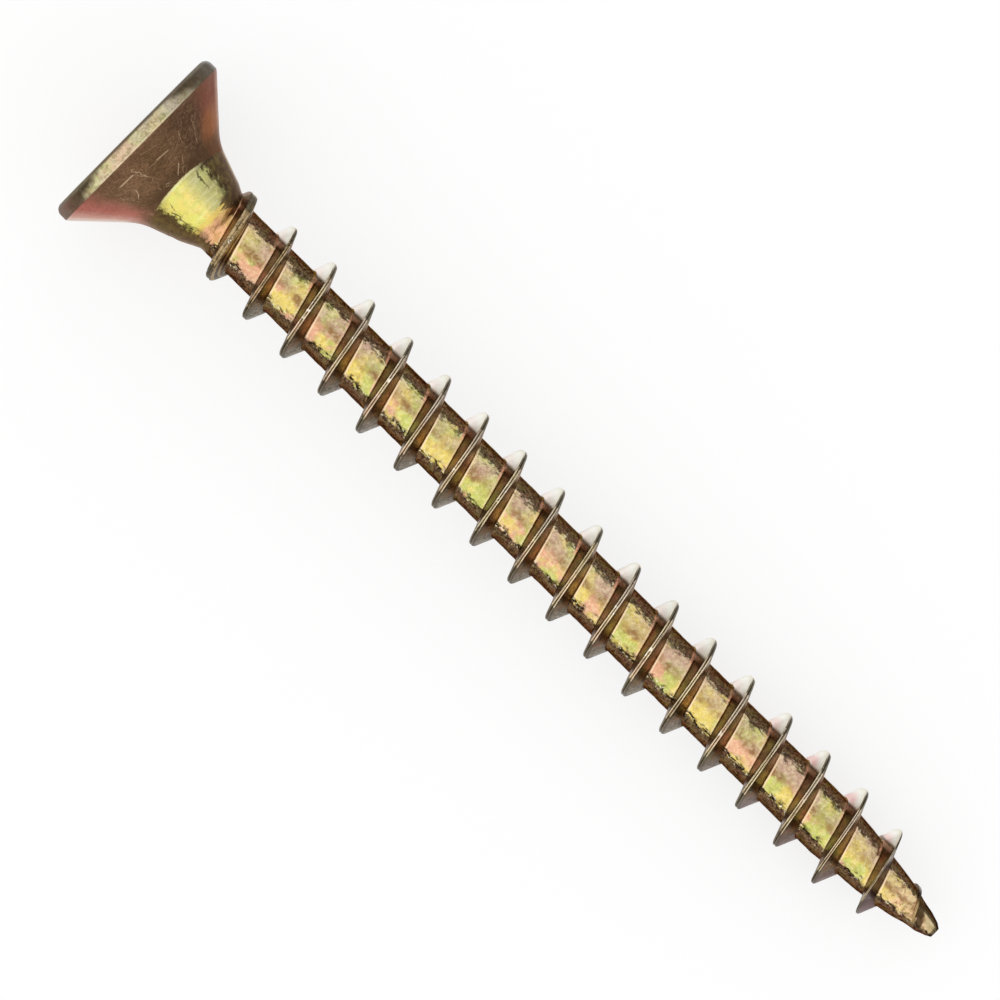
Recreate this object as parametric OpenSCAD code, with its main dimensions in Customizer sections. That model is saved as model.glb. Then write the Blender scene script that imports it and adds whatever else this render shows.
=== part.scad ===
// Self-tapping screw for chipboard, 4 x 40 class: a countersunk head with a
// cross recess, a reinforced neck, a coarse full-length thread and a blunted
// gimlet point. Millimetres. The screw is drawn along its own axis, with z = 0
// on the head's flat face and +z towards the point. lying() then lays it on the
// ground as it comes to rest, on its rim and on the last full turn.

/* [Size] */
// Length from the flat face to the point
screw_l = 41.2; // [36:0.1:50]
// Diameter of the head
head_d = 7.76; // [7.2:0.02:8]
// Outer diameter of the thread
thread_d = 3.8; // [3.6:0.02:4]
// Diameter of the core between the turns
core_d = 2.3; // [2.1:0.02:2.5]

/* [Head] */
// Height of the rim above the countersink
rim_h = 0.58; // [0.45:0.01:0.7]
// Radius that rounds the edge of the flat face
rim_round = 0.3; // [0.1:0.05:0.4]
// Angle between the countersink and the axis, in degrees
sink_angle = 43; // [40:0.5:47]
// Diameter where the countersink meets the neck
neck_d = 4.08; // [3.8:0.02:4.3]
// Distance from the flat face to the end of the neck
neck_end = 4.05; // [3.8:0.05:4.4]
// Diameter at the end of the neck
neck_end_d = 3; // [2.6:0.05:3.2]

/* [Drive recess] */
// Diameter across the wings at the flat face
wing_d = 4.4; // [4:0.05:4.6]
// Width of a wing at the flat face
wing_w = 0.86; // [0.7:0.01:1]
// Depth to the end of the wings
wing_depth = 2.05; // [1.6:0.05:2.1]
// Slope of the wings' outer ends, in degrees from the axis
wing_slope = 26.5; // [20:0.5:27]
// Slope of the wings' side walls, in degrees from the axis
wall_slope = 1.5; // [0:0.5:3]
// Size across the flats of the square socket between the wings
socket_w = 1.72; // [1.4:0.02:1.9]
// Slope of the socket's walls, in degrees from the axis
socket_slope = 9; // [5:1:12]

/* [Thread] */
// Advance of the thread in one turn
pitch = 1.94; // [1.8:0.01:2.1]
// Distance from the flat face to the first crest on the left side
first_crest = 4.74; // [4.6:0.01:5]
// Angle of the flank that faces the head, in degrees
head_flank = 16.5; // [14:0.5:25]
// Angle of the flank that faces the point, in degrees
tip_flank = 20.5; // [18:0.5:30]
// Flat along the crest where the thread is full
crest_flat = 0.17; // [0.1:0.01:0.2]
// Flat along the crest of the first, half-filled turn
start_flat = 0.3; // [0.2:0.01:0.34]
// Width of the fillet at the foot of each flank
root_fillet = 0.08; // [0.06:0.01:0.14]
// Flat facets that one turn is made of
steps = 36; // [24:4:40]

/* [Point] */
// Length over which the core tapers to the point
taper_l = 5.3; // [4.5:0.1:6]
// Diameter of the blunted end
blunt_d = 0.34; // [0.2:0.02:0.44]

/* [Hidden] */

zinc = [0.72, 0.58, 0.26];
over = 1;

head_r = head_d / 2;
crest_r = thread_d / 2;
core_r = core_d / 2;
neck_r = neck_d / 2;
sink_end = rim_h + (head_r - neck_r) / tan(sink_angle);
shoulder_end = neck_end + 0.7;
taper_start = screw_l - taper_l;

// The tapered point, as distances from the flat face and radii: the core runs
// in slightly, breaks at a shoulder where the thread ends, and is cut blunt
taper = [
    [taper_start, core_r],
    [taper_start + 0.31 * taper_l, 0.86 * core_r],
    [taper_start + 0.6 * taper_l, 0.69 * core_r],
    [taper_start + 0.72 * taper_l, 0.58 * core_r],
    [taper_start + 0.79 * taper_l, 0.48 * core_r],
    [taper_start + 0.89 * taper_l, 0.4 * core_r],
    [screw_l - 0.17, 0.27 * core_r],
    [screw_l, blunt_d / 2],
];

// Height of the crest above the axis: it climbs out of the neck in the first
// turns, runs level, and sinks into the point
crest_height = [
    [first_crest - 0.85, core_r],
    [first_crest, 0.84 * crest_r],
    [first_crest + 0.5 * pitch, 0.92 * crest_r],
    [first_crest + pitch, 0.94 * crest_r],
    [first_crest + 1.5 * pitch, 0.98 * crest_r],
    [first_crest + 2.5 * pitch, crest_r],
    [screw_l - 4.45, crest_r],
    [screw_l - 3.48, 0.93 * crest_r],
    [screw_l - 2.51, 0.79 * crest_r],
    [screw_l - 2, 0.59 * crest_r],
    [screw_l - 1.54, 0.42 * crest_r],
    [screw_l - 1.05, 0.32 * crest_r],
    [screw_l - 0.5, 0.19 * crest_r],
];

// Width of the flat along the crest
crest_width = [
    [first_crest, start_flat],
    [first_crest + pitch, 0.5 * start_flat],
    [first_crest + 2 * pitch, crest_flat],
    [screw_l - 6, crest_flat],
    [screw_l - 4.5, 0.7 * crest_flat],
    [screw_l - 3.3, 0.4 * crest_flat],
    [screw_l - 2.4, 0.4 * crest_flat],
    [screw_l - 1, 0.6 * crest_flat],
];

// Points of a circle's arc from angle a to angle b
function arc(centre, r, a, b, n = 6) = [
    for (i = [0:n])
        let (t = a + (b - a) * i / n)
        centre + r * [cos(t), sin(t)]
];

// Section of the thread at height z, as [radius, height] corners from the
// head's side to the point's: sunk foot, heel of the flank, crest, and the same
// again. The fillet between heel and core is drawn straight.
function ridge(z) =
    let (
        top = lookup(z, crest_height),
        flat = lookup(z, crest_width) / 2,
        core = lookup(z, taper),
        rise = max(top - core, 0),
        foot = 0.85 * min(core, top),
        heel = min(core + 0.1 * (top - core), (foot + top) / 2),
        run = 0.9 * rise,
        spread = (heel - foot) * root_fillet / (0.1 * (crest_r - core_r))
    ) [
        [foot, z - flat - run * tan(head_flank) - spread],
        [heel, z - flat - run * tan(head_flank)],
        [top, z - flat],
        [top, z + flat],
        [heel, z + flat + run * tan(tip_flank)],
        [foot, z + flat + run * tan(tip_flank) + spread],
    ];

// A corner of the section turned about the axis
function turned(p, angle) = [p.x * cos(angle), p.x * sin(angle), p.y];

// Half section of the head, neck, core and point
module half_section() {
    rim = arc([head_r - rim_round, rim_round], rim_round, -90, 0);
    point = [for (p = taper) [p[1], p[0]]];
    polygon(concat(
        [[0, 0]],
        rim,
        [
            [head_r, rim_h],
            [neck_r, sink_end],
            [neck_end_d / 2, neck_end],
            [core_r, shoulder_end],
        ],
        point,
        [[0, screw_l]]
    ));
}

// The thread: one right-handed ridge, swept along its helix and closed at
// both ends
module thread() {
    start = first_crest - 0.85;
    end = screw_l - 0.5;
    first = floor((start - first_crest) / pitch * steps);
    last = ceil((end - first_crest) / pitch * steps);
    sections = [
        for (i = [first:last])
            [for (p = ridge(first_crest + pitch * i / steps)) turned(p, 360 * i / steps)]
    ];
    n = len(sections);
    k = len(sections[0]);
    sides = [
        for (i = [0:n - 2], j = [0:k - 1])
            let (a = i * k + j, b = i * k + (j + 1) % k)
            each [[a, b, b + k], [a, b + k, a + k]]
    ];
    caps = [
        [5, 4, 1, 0],
        [4, 3, 2, 1],
        [for (j = [0, 1, 4, 5]) (n - 1) * k + j],
        [for (j = [1, 2, 3, 4]) (n - 1) * k + j],
    ];
    polyhedron([for (s = sections) each s], concat(sides, caps), convexity = 10);
}

// The cross recess: two crossed wings whose ends slope in, a square socket
// between them and a conical floor
module recess() {
    run = tan(wing_slope);
    lean = tan(wall_slope);
    depth = wing_depth + over;
    wing = [
        [0, -over],
        [wing_d / 2 + over * run, -over],
        [wing_d / 2 - wing_depth * run, wing_depth],
        [0, wing_depth],
    ];
    slot = [
        [-wing_w / 2 - over * lean, -over],
        [wing_w / 2 + over * lean, -over],
        [wing_w / 2 - depth * lean, depth],
        [-wing_w / 2 + depth * lean, depth],
    ];
    socket_r = socket_w / sqrt(2) + over * tan(socket_slope);
    intersection() {
        rotate_extrude($fn = 72)
            polygon(wing);
        for (turn = [45, 135])
            rotate([90, 0, turn])
                linear_extrude(wing_d + 2 * over, center = true)
                    polygon(slot);
    }
    translate([0, 0, -over])
        cylinder(h = depth, r1 = socket_r, r2 = socket_r - depth * tan(socket_slope), $fn = 4);
    translate([0, 0, wing_depth - 0.05])
        cylinder(h = 0.4, r1 = 0.6, r2 = 0.1, $fn = 48);
}

module upright_screw() {
    difference() {
        union() {
            rotate_extrude($fn = 96)
                half_section();
            thread();
        }
        recess();
    }
}

// The turn that the screw lies on is the last full one on its lower side. The
// axis dips from the rim's edge to that turn's crest.
lying_turn = floor((screw_l - 3.5 - first_crest) / pitch - 0.75);
lying_at = first_crest + (lying_turn + 0.75) * pitch;
lying_r = lookup(lying_at, crest_height);
dip = atan((head_r - lying_r) / (lying_at - rim_h));

// Lays the screw along +x with its lowest edge at z = 0, centred on its box
module lying() {
    behind = rim_round + (head_r - rim_round) * sin(dip) - rim_round * cos(dip);
    ahead = screw_l * cos(dip) + blunt_d / 2 * sin(dip);
    lift = rim_h * sin(dip) + head_r * cos(dip);
    translate([(behind - ahead) / 2, 0, lift])
        rotate([0, dip, 0])
            rotate([90, 0, 90])
                children();
}

module screw() {
    color(zinc)
        lying()
            upright_screw();
}

screw();
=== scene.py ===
"""Studio picture of a yellow zinc plated self-tapping screw lying on a pale floor.

The screw is modelled along its own axis in millimetres, z = 0 on the head's flat
face and +z towards the point, and is then laid down in the frame of the CAD part.
"""

import logging
import math
from dataclasses import dataclass
from enum import Enum
from functools import cached_property
from typing import TypeAlias

import bmesh
import bpy
from mathutils import Matrix, Vector, noise


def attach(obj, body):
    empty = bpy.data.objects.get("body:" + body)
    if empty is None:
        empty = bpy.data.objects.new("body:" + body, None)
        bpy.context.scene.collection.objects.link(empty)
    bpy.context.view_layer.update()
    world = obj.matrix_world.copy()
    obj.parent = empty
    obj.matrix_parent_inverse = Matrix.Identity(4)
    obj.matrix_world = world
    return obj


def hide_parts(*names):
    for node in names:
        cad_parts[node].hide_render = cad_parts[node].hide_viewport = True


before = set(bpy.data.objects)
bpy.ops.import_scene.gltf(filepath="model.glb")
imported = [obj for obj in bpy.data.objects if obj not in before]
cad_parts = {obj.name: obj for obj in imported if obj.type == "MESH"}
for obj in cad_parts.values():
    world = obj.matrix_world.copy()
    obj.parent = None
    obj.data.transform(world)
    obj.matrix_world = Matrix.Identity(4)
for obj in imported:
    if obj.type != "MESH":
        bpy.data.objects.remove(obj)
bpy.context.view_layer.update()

logging.basicConfig(level=logging.INFO, format="%(name)s: %(message)s")
LOG = logging.getLogger("screw")

MM = 0.001
TAU = 2 * math.pi
# Distances in millimetres within which places count as one
MERGE = 1e-4
NEAR = 0.01
OWN_AXES = "own_axes"
RIDGE = "ridge"
TRAIL = "trail"
INKS = ("Gold", "Green", "Salmon", "Lilac")
# One whole turn about the screw's axis, as spin reads it
TURN = {"cent": (0, 0, 0), "axis": (0, 0, 1), "angle": TAU, "use_duplicate": False}

Tree: TypeAlias = bpy.types.NodeTree
Socket: TypeAlias = bpy.types.NodeSocket
Mesh: TypeAlias = bmesh.types.BMesh
Vert: TypeAlias = bmesh.types.BMVert
Edge: TypeAlias = bmesh.types.BMEdge
Face: TypeAlias = bmesh.types.BMFace
Table: TypeAlias = tuple[tuple[float, float], ...]
Triple: TypeAlias = tuple[float, float, float]
Srgb: TypeAlias = tuple[int, int, int]
Patch: TypeAlias = tuple[float, float, Srgb, float]
Stroke: TypeAlias = tuple[float, float, float, float, float]
Level: TypeAlias = "Value | float"
Ink: TypeAlias = "Value | tuple[float, ...]"


def along(x: float, table: Table) -> float:
    """Read a table at x, with straight lines between its rows.

    Args:
        x: Place along the table's first column.
        table: Rows of place and value, in rising order of place.

    Returns:
        The value at x, held level beyond either end.
    """
    if x <= table[0][0]:
        return table[0][1]
    for (x0, y0), (x1, y1) in zip(table, table[1:]):
        if x <= x1:
            return y0 + (y1 - y0) * (x - x0) / (x1 - x0)
    return table[-1][1]


def ease(a: float, b: float, x: float) -> float:
    """Smooth step from 0 at a to 1 at b.

    Args:
        a: Where the step starts.
        b: Where the step ends.
        x: Place to read.

    Returns:
        A value from 0 to 1.
    """
    t = min(max((x - a) / (b - a), 0.0), 1.0)
    return t * t * (3 - 2 * t)


def slope(angle: float) -> float:
    """Rise in one unit of length at an angle in degrees."""
    return math.tan(math.radians(angle))


def linear(srgb: Srgb) -> tuple[float, ...]:
    """Turn a colour in 0 to 255 sRGB numbers into scene-linear values.

    Args:
        srgb: Red, green and blue, from 0 to 255.

    Returns:
        The three linear values and full opacity.
    """
    shares = (v / 255 for v in srgb)
    values = (c / 12.92 if c <= 0.04045 else ((c + 0.055) / 1.055) ** 2.4 for c in shares)
    return (*values, 1.0)


def in_scene(name: str, data: bpy.types.ID) -> bpy.types.Object:
    """Put an object in the scene.

    Args:
        name: The object's name.
        data: What it shows, such as a mesh or a camera.

    Returns:
        The object.
    """
    thing = bpy.data.objects.new(name, data)
    bpy.context.scene.collection.objects.link(thing)
    return thing


def modelled(name: str, bm: Mesh) -> bpy.types.Object:
    """Put an object with a finished mesh in the scene.

    Args:
        name: The object's name.
        bm: Its mesh, which is freed.

    Returns:
        The object.
    """
    mesh = bpy.data.meshes.new(name)
    bm.to_mesh(mesh)
    bm.free()
    return in_scene(name, mesh)


def new_material(name: str) -> tuple[bpy.types.Material, bpy.types.Node]:
    """Make a material.

    Args:
        name: The material's name.

    Returns:
        The material and its surface shader.
    """
    material = bpy.data.materials.new(name)
    material.use_nodes = True
    return material, material.node_tree.nodes["Principled BSDF"]


class Zone(Enum):
    """Parts of the screw's surface, in the order of their material slots."""

    HEAD = 0
    NECK = 1
    CORE = 2
    FLANK = 3
    CREST = 4


@dataclass(frozen=True)
class ScrewSizes:
    """Sizes of the screw in millimetres and degrees, as in the CAD part."""

    length: float = 41.2
    head_r: float = 3.88
    rim_h: float = 0.58
    rim_round: float = 0.3
    sink_angle: float = 43.0
    neck_r: float = 2.04
    neck_end: float = 4.05
    neck_end_r: float = 1.5
    shoulder: float = 0.7
    core_r: float = 1.15
    crest_r: float = 1.9
    pitch: float = 1.94
    first_crest: float = 4.74
    lead_in: float = 0.85
    head_flank: float = 16.5
    tip_flank: float = 20.5
    crest_flat: float = 0.17
    start_flat: float = 0.3
    taper: float = 5.3
    blunt_r: float = 0.17
    wing_r: float = 2.2
    wing_half: float = 0.43
    wing_depth: float = 2.05
    wing_slope: float = 26.5
    wall_slope: float = 1.5
    socket_half: float = 0.86
    socket_slope: float = 9.0

    @property
    def sink_end(self) -> float:
        """Place where the countersink meets the neck."""
        return self.rim_h + (self.head_r - self.neck_r) / slope(self.sink_angle)

    @cached_property
    def core(self) -> Table:
        """Radius of the core from the countersink's end to the point."""
        start, r = self.length - self.taper, self.core_r
        taper = ((0.31, 0.86), (0.6, 0.69), (0.72, 0.58), (0.79, 0.48), (0.89, 0.4))
        tip = ((0.17, 0.27), (0.06, 0.21), (0.0, 0.13))
        return (
            (self.sink_end, self.neck_r),
            (self.neck_end, self.neck_end_r),
            (self.neck_end + self.shoulder, r),
            (start, r),
            *((start + share * self.taper, size * r) for share, size in taper),
            *((self.length - back, size * r) for back, size in tip),
        )

    @cached_property
    def crest_height(self) -> Table:
        """Height of the thread's crest above the axis."""
        climb = ((0.0, 0.84), (0.5, 0.92), (1.0, 0.94), (1.5, 0.98), (2.5, 1.0))
        sink = ((4.45, 1.0), (3.48, 0.93), (2.51, 0.79), (2.0, 0.59))
        last = ((1.54, 0.42), (1.05, 0.32), (0.5, 0.19))
        return (
            (self.first_crest - self.lead_in, self.core_r),
            *((self.first_crest + turns * self.pitch, size * self.crest_r) for turns, size in climb),
            *((self.length - back, size * self.crest_r) for back, size in sink + last),
        )

    @cached_property
    def crest_width(self) -> Table:
        """Width of the land along the crest."""
        first = (self.start_flat, 0.5 * self.start_flat, self.crest_flat)
        last = ((6.0, 1.0), (4.5, 0.7), (3.3, 0.4), (2.4, 0.4), (1.0, 0.6))
        return (
            *((self.first_crest + turn * self.pitch, flat) for turn, flat in enumerate(first)),
            *((self.length - back, share * self.crest_flat) for back, share in last),
        )


@dataclass(frozen=True)
class Lie:
    """How the screw lies on the ground: on its rim and its last full turn."""

    sizes: ScrewSizes
    run_out: float = 3.5
    low_side: float = 0.75

    @property
    def dip(self) -> float:
        """Angle by which the axis falls towards the point, in radians."""
        s = self.sizes
        turn = math.floor((s.length - self.run_out - s.first_crest) / s.pitch - self.low_side)
        place = s.first_crest + (turn + self.low_side) * s.pitch
        return math.atan((s.head_r - along(place, s.crest_height)) / (place - s.rim_h))

    @property
    def matrix(self) -> Matrix:
        """Turns the screw's own millimetres into the frame's metres."""
        s, dip = self.sizes, self.dip
        behind = s.rim_round * (1 - math.cos(dip)) + (s.head_r - s.rim_round) * math.sin(dip)
        ahead = s.length * math.cos(dip) + s.blunt_r * math.sin(dip)
        lift = s.rim_h * math.sin(dip) + s.head_r * math.cos(dip)
        right_angle = math.radians(90)
        own = Matrix.Rotation(right_angle, 4, "Z") @ Matrix.Rotation(right_angle, 4, "X")
        move = Matrix.Translation(((behind - ahead) / 2, 0, lift))
        return Matrix.Scale(MM, 4) @ move @ Matrix.Rotation(dip, 4, "Y") @ own


@dataclass(frozen=True)
class Spot:
    """One point of the thread's section."""

    offset: float
    share: float
    across: float
    toe: float


@dataclass
class ThreadSection:
    """One pitch of the screw's outline, cut along the axis at the crest's place."""

    sizes: ScrewSizes
    root_cuts: int = 6
    flank_cuts: int = 5
    fillet: float = 0.08
    fillet_whole_at: float = 0.3
    foot: float = 0.1
    root_edge: float = 0.75
    toe_fade: float = 0.6
    toe_places: tuple[float, ...] = (0.0, 0.35, 0.7)
    land: Table = ((0.0, 0.965), (0.13, 0.995), (0.3, 1.0), (0.42, 0.97), (0.5, 0.95))

    def __post_init__(self) -> None:
        """List the stations, from the head's side to the point's."""
        root = [("root", k / self.root_cuts) for k in range(self.root_cuts)]
        toe = [("toe", u) for u in self.toe_places]
        flank = [("flank", k / self.flank_cuts) for k in range(self.flank_cuts)]
        lip = [("land", u) for u, _ in self.land[:-1]]
        half = [(-1, kind, u) for kind, u in root + toe + flank + lip]
        other = [(1, kind, u) for _, kind, u in reversed(half)]
        self.stations: list[tuple[int, str, float]] = half + [(-1, "land", 0.5)] + other

    def place(self, station: int, top: float, foot: float, flat: float) -> Spot:
        """Place one station of the section.

        Args:
            station: Index of the station, from the head's side to the point's.
            top: Height of the crest above the axis.
            foot: Radius of the core under the crest.
            flat: Width of the crest's land.

        Returns:
            The station's distance from the crest along the axis, its share of the
            ridge's height, and its masks.
        """
        side, kind, u = self.stations[station]
        angle = self.sizes.head_flank if side < 0 else self.sizes.tip_flank
        rise = max(top - foot, 0.0)
        run = rise * slope(angle) * (1 - self.foot)
        toe = self.fillet * min(rise / self.fillet_whole_at, 1.0)
        edge = flat / 2
        if kind == "root":
            offset = self.sizes.pitch / 2 * (1 - u) + (edge + run + toe) * u
            return Spot(side * offset, 0.0, side, ease(self.root_edge, 1.0, u))
        if kind == "toe":
            offset = edge + run + toe * (1 - u)
            return Spot(side * offset, self.foot * u * u, side, 1 - self.toe_fade * u)
        if kind == "flank":
            share = self.foot + (along(0.0, self.land) - self.foot) * u
            return Spot(side * (edge + run * (1 - u)), share, side, 0.0)
        return Spot(side * edge * (1 - 2 * u), along(u, self.land), side * (1 - 2 * u), 0.0)


@dataclass
class Shank:
    """Neck, core, thread and point: one helical sheet, closed at the point."""

    sizes: ScrewSizes
    section: ThreadSection
    steps: int = 112
    start: float = 3.3
    neck_paint: float = 5.0
    bare: float = 0.02
    dents_before: float = 0.6
    dents_after: float = 0.4
    dents: float = 0.012
    dent_scale: float = 2.6
    small_dent_scale: float = 7.5
    nicks: float = 0.01
    nick_scale: float = 4.1
    first_nicks: float = 0.045
    rough_turns: float = 2.2
    whole_ridge: float = 0.25
    drift: float = -0.045
    drift_from: float = 4.2
    drift_to: float = 2.8

    def build(self) -> Mesh:
        """Sweep one pitch of outline along the helix and shape it.

        Returns:
            The open mesh in the screw's own millimetres, cut square at its start
            and closed at the point.
        """
        s = self.sizes
        bm = bmesh.new()
        lane = bm.verts.layers.int.new("station")
        first = math.floor((self.start - s.first_crest) / s.pitch) - 1
        turns = math.ceil((s.length - s.first_crest) / s.pitch) + 1 - first
        offsets = [
            self.section.place(j, s.crest_r, s.core_r, s.crest_flat).offset
            for j in range(len(self.section.stations))
        ]
        base = s.first_crest + s.pitch * first
        chain = [bm.verts.new((1.0, 0.0, base + offset)) for offset in offsets]
        for j, vert in enumerate(chain):
            vert[lane] = j
        edges = [bm.edges.new(pair) for pair in zip(chain, chain[1:])]
        rise = (0, 0, s.pitch / self.steps)
        bmesh.ops.spin(bm, geom=chain + edges, dvec=rise, steps=self.steps, use_merge=False, **TURN)
        turn = bm.verts[:] + bm.edges[:] + bm.faces[:]
        for k in range(1, turns):
            copy = bmesh.ops.duplicate(bm, geom=turn)["geom"]
            moved = [g for g in copy if isinstance(g, Vert)]
            bmesh.ops.translate(bm, vec=(0, 0, s.pitch * k), verts=moved)
        ridge = bm.verts.layers.float_vector.new(RIDGE)
        trail = bm.verts.layers.float.new(TRAIL)
        for vert in bm.verts:
            step = round((vert.co.z - offsets[vert[lane]] - s.first_crest) * self.steps / s.pitch)
            vert.co, vert[ridge] = self._shaped(step, vert[lane])
            vert[trail] = TAU * s.crest_r * step / self.steps
        bmesh.ops.remove_doubles(bm, verts=bm.verts, dist=MERGE)
        self._paint(bm, lane)
        for z, cut in ((self.start, {"clear_inner": True}), (s.length, {"clear_outer": True})):
            geom = bm.verts[:] + bm.edges[:] + bm.faces[:]
            plane = {"plane_co": (0, 0, z), "plane_no": (0, 0, 1)}
            bmesh.ops.bisect_plane(bm, geom=geom, dist=1e-6, **plane, **cut)
        end = [e for e in bm.edges if e.is_boundary and e.verts[0].co.z > s.length - NEAR]
        for face in bmesh.ops.contextual_create(bm, geom=end)["faces"]:
            face.material_index = Zone.CORE.value
        LOG.info("shank: %d turns, %d faces", turns, len(bm.faces))
        return bm

    def _shaped(self, step: int, station: int) -> tuple[Vector, Vector]:
        """Place a vertex of the helical sheet.

        Args:
            step: Step along the helix, 0 at the first crest.
            station: Station of the thread's section.

        Returns:
            The vertex's place, and its masks: share of the ridge's height, place
            across the land, and nearness to the ridge's foot.
        """
        s = self.sizes
        angle = TAU * step / self.steps
        at = s.first_crest + s.pitch * step / self.steps
        foot, top = along(at, s.core), along(at, s.crest_height)
        spot = self.section.place(station, top, foot, along(at, s.crest_width))
        z = at + spot.offset
        core = along(z, s.core)
        rise = max(top - core, 0.0) if top > foot else 0.0
        here = Vector((core * math.cos(angle), core * math.sin(angle), z))
        worn = ease(s.neck_end - self.dents_before, s.neck_end + self.dents_after, z)
        small = noise.noise(here * self.small_dent_scale)
        dent = worn * self.dents * (noise.noise(here * self.dent_scale) + 0.5 * small)
        rough = self.first_nicks * (1 - ease(s.first_crest, s.first_crest + self.rough_turns * s.pitch, at))
        elsewhere = here * self.nick_scale + Vector((0, 0, 9))
        nick = (self.nicks + rough) * max(noise.noise(elsewhere), 0.0)
        r = core + rise * spot.share + dent * (1 - spot.share) - spot.share * nick
        drift = self.drift * ease(s.length - self.drift_from, s.length - self.drift_to, z)
        place = Vector((r * math.cos(angle) + drift, r * math.sin(angle), z))
        strength = min(rise / self.whole_ridge, 1.0)
        return place, Vector((spot.share * strength, spot.across, spot.toe * strength))

    def _paint(self, bm: Mesh, lane: bmesh.types.BMLayerItem) -> None:
        """Give each face the zone of its stations.

        Args:
            bm: The shaped sheet.
            lane: Vertex layer that holds the station.
        """
        kinds = [kind for _, kind, _ in self.section.stations]
        ridge = bm.verts.layers.float_vector[RIDGE]
        for face in bm.faces:
            face.smooth = True
            found = {kinds[v[lane]] for v in face.verts}
            high = max(v[ridge].x for v in face.verts)
            z = face.calc_center_median().z
            zone = Zone.CORE
            if high < self.bare:
                zone = Zone.CORE if z > self.neck_paint else Zone.NECK
            elif found == {"land"}:
                zone = Zone.CREST
            elif "flank" in found:
                zone = Zone.FLANK
            face.material_index = zone.value


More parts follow.
